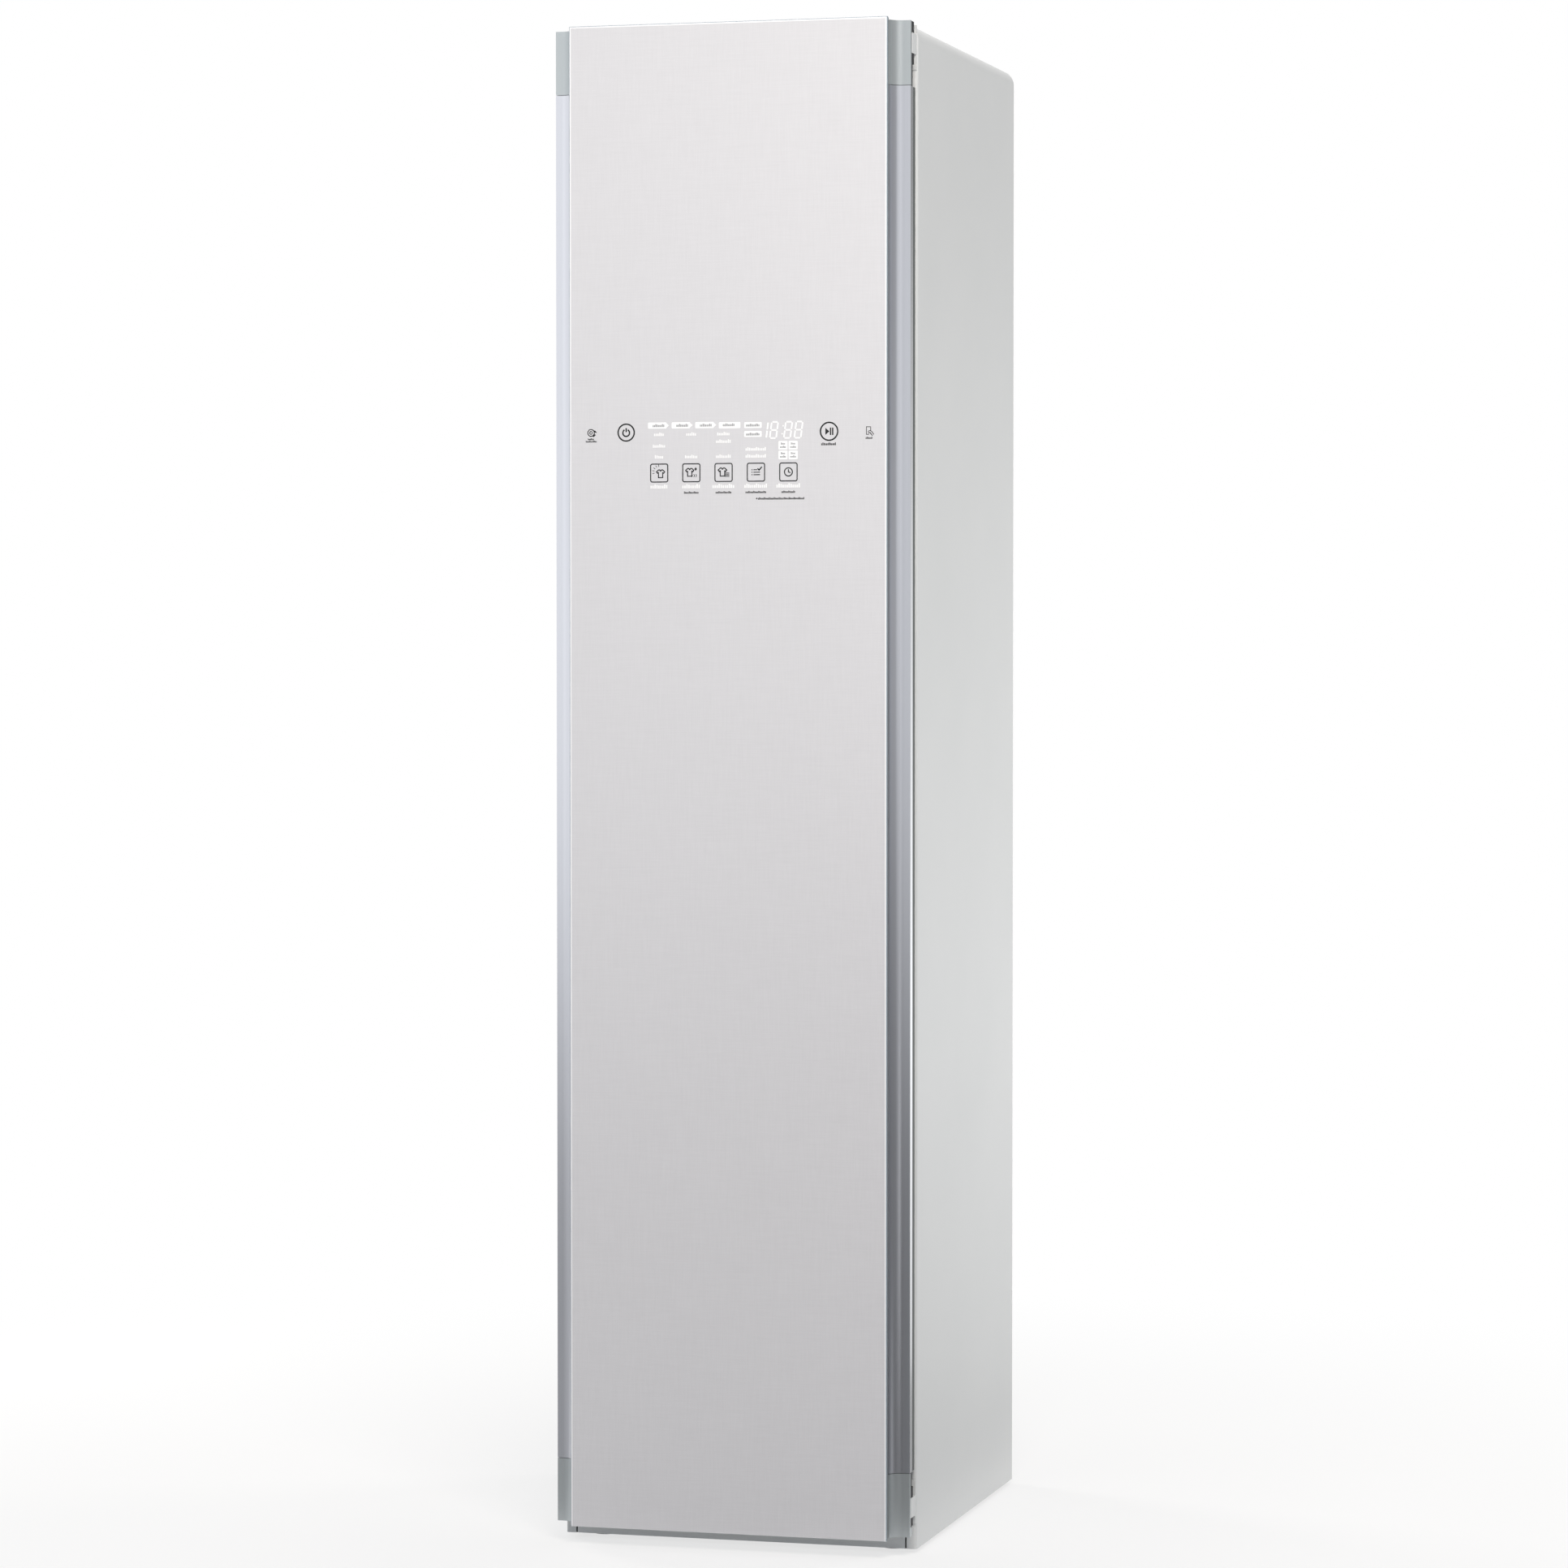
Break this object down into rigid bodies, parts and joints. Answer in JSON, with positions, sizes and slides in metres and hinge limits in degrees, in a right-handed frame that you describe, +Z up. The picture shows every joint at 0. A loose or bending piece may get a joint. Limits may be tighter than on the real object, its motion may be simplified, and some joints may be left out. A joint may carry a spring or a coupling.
{
  "type": "clothes care steam cabinet",
  "caption": "Tall closet that steams, shakes, presses and dries clothes behind one full-height glass door.",
  "frame": {"origin": "centre of the footprint on the floor, below the middle of the overall box", "axes": "+Z up, the glass door faces -Y, +X to the right of someone facing the door, on the hinge side"},
  "size_m": [0.445, 0.585, 1.85],
  "materials": {
    "case_paint": "satin light grey powder coat",
    "galvanised_steel": "galvanised sheet",
    "zinc_screw": "zinc plated",
    "bright_steel": "ground and polished",
    "door_glass": "back-printed toughened glass, fine linen pattern",
    "grip_aluminium": "satin anodised",
    "cap_plastic": "satin moulded",
    "black_plastic": "fine moulded texture",
    "white_plastic": "moulded",
    "grey_plastic": "moulded",
    "seal_rubber": "soft matt",
    "black_rubber": "matt",
    "foam": "expanded foam",
    "tank_plastic": "smoked clear moulding",
    "press_cloth": "heat-resistant felt",
    "copper_tube": "drawn copper",
    "fin_aluminium": "mill finish",
    "shell_paint": "black gloss paint",
    "board_green": "solder mask",
    "lamp_lens": "frosted diffuser"
  },
  "bodies": {
    "cabinet": {"outer_case": "case_paint", "kick_plate": "case_paint", "upper_hinge_bracket": "case_paint", "lower_hinge_bracket": "case_paint", "rear_cover": "galvanised_steel", "drive_plate": "galvanised_steel", "case_screws": "zinc_screw", "hinge_pins": "bright_steel", "slide_rods": "bright_steel", "base_pan": "black_plastic", "chamber_liner": "white_plastic", "insulation_panels": "foam", "floor_grille": "grey_plastic", "shelf_hooks": "white_plastic", "chamber_lamp": "lamp_lens", "tank_bay": "white_plastic", "drive_motor": "shell_paint", "drive_belt": "black_rubber", "evaporator": "fin_aluminium", "condenser": "fin_aluminium", "blower_housing": "black_plastic", "blower_motor": "shell_paint", "compressor": "shell_paint", "compressor_grommets": "black_rubber", "refrigerant_pipes": "copper_tube", "steam_generator": "grey_plastic", "steam_nozzle": "seal_rubber", "water_pumps": "black_plastic", "control_board": "board_green", "power_inlet": "black_plastic"},
    "door": {"glass_panel": "door_glass", "front_frame": "grey_plastic", "touch_board": "board_green", "left_grip_profile": "grip_aluminium", "right_grip_profile": "grip_aluminium", "upper_left_cap": "cap_plastic", "upper_right_cap": "cap_plastic", "lower_left_cap": "cap_plastic", "lower_right_cap": "cap_plastic", "upper_hinge_leaf": "black_plastic", "lower_hinge_leaf": "black_plastic", "door_liner": "white_plastic", "door_gasket": "seal_rubber", "press_backing": "press_cloth"},
    "press_panel": {"press_panel": "white_plastic"},
    "hanger_bar": {"hanger_bar": "grip_aluminium"},
    "hangers": {"hangers": "grey_plastic"},
    "drive_pulley": {"drive_pulley": "grey_plastic"},
    "connecting_rod": {"connecting_rod": "galvanised_steel"},
    "motor_pulley": {"motor_pulley": "grey_plastic"},
    "blower_impeller": {"blower_impeller": "black_plastic"},
    "shelf": {"shelf": "white_plastic"},
    "lint_filter": {"lint_filter": "grey_plastic"},
    "fragrance_case": {"fragrance_case": "grey_plastic"},
    "supply_tank": {"supply_tank": "tank_plastic"},
    "drain_tank": {"drain_tank": "tank_plastic"},
    "foot_front_left": {"foot_front_left": "black_rubber"},
    "foot_front_right": {"foot_front_right": "black_rubber"},
    "foot_rear_left": {"foot_rear_left": "black_rubber"},
    "foot_rear_right": {"foot_rear_right": "black_rubber"}
  },
  "joints": [
    {"name": "door_hinge", "type": "hinge", "parent": "cabinet", "child": "door", "pos_m": [0.214, -0.256, 0.9], "axis": [0, 0, 1], "range_deg": [0, 105]},
    {"name": "press_hinge", "type": "hinge", "parent": "door", "child": "press_panel", "pos_m": [0.159, -0.222, 1.06], "axis": [0, 0, -1], "range_deg": [0, 90]},
    {"name": "bar_shake", "type": "slide", "parent": "cabinet", "child": "hanger_bar", "axis": [1, 0, 0], "range_m": [-0.018, 0.018]},
    {"name": "hanger_swing", "type": "hinge", "parent": "hanger_bar", "child": "hangers", "pos_m": [0, 0, 1.697], "axis": [1, 0, 0], "range_deg": [-8, 8]},
    {"name": "crank_spin", "type": "hinge", "parent": "cabinet", "child": "drive_pulley", "pos_m": [0.06, 0, 1.8], "axis": [0, 0, 1], "continuous": true},
    {"name": "link_turn", "type": "hinge", "parent": "drive_pulley", "child": "connecting_rod", "pos_m": [0.06, -0.018, 1.789], "axis": [0, 0, 1], "continuous": true},
    {"name": "motor_spin", "type": "hinge", "parent": "cabinet", "child": "motor_pulley", "pos_m": [0.06, 0.118, 1.8], "axis": [0, 0, 1], "continuous": true},
    {"name": "blower_spin", "type": "hinge", "parent": "cabinet", "child": "blower_impeller", "pos_m": [-0.104, 0.0945, 0.2525], "axis": [0, 1, 0], "continuous": true},
    {"name": "shelf_lift", "type": "slide", "parent": "cabinet", "child": "shelf", "axis": [0, 0, 1], "range_m": [0, 0.04]},
    {"name": "filter_lift", "type": "slide", "parent": "cabinet", "child": "lint_filter", "axis": [0, 0, 1], "range_m": [0, 0.05]},
    {"name": "fragrance_lift", "type": "slide", "parent": "cabinet", "child": "fragrance_case", "axis": [0, 0, 1], "range_m": [0, 0.05]},
    {"name": "supply_tank_slide", "type": "slide", "parent": "cabinet", "child": "supply_tank", "axis": [0, -1, 0], "range_m": [0, 0.02]},
    {"name": "drain_tank_slide", "type": "slide", "parent": "cabinet", "child": "drain_tank", "axis": [0, -1, 0], "range_m": [0, 0.02]},
    {"name": "foot_front_left_turn", "type": "hinge", "parent": "cabinet", "child": "foot_front_left", "pos_m": [-0.1845, -0.191, 0.02], "axis": [0, 0, 1], "continuous": true},
    {"name": "foot_front_right_turn", "type": "hinge", "parent": "cabinet", "child": "foot_front_right", "pos_m": [0.1845, -0.191, 0.02], "axis": [0, 0, 1], "continuous": true},
    {"name": "foot_rear_left_turn", "type": "hinge", "parent": "cabinet", "child": "foot_rear_left", "pos_m": [-0.1845, 0.2475, 0.02], "axis": [0, 0, 1], "continuous": true},
    {"name": "foot_rear_right_turn", "type": "hinge", "parent": "cabinet", "child": "foot_rear_right", "pos_m": [0.1845, 0.2475, 0.02], "axis": [0, 0, 1], "continuous": true}
  ],
  "couplings": [
    {"joint": "link_turn", "follows": "crank_spin", "ratio": -1},
    {"joint": "motor_spin", "follows": "crank_spin", "ratio": 3.3077}
  ]
}
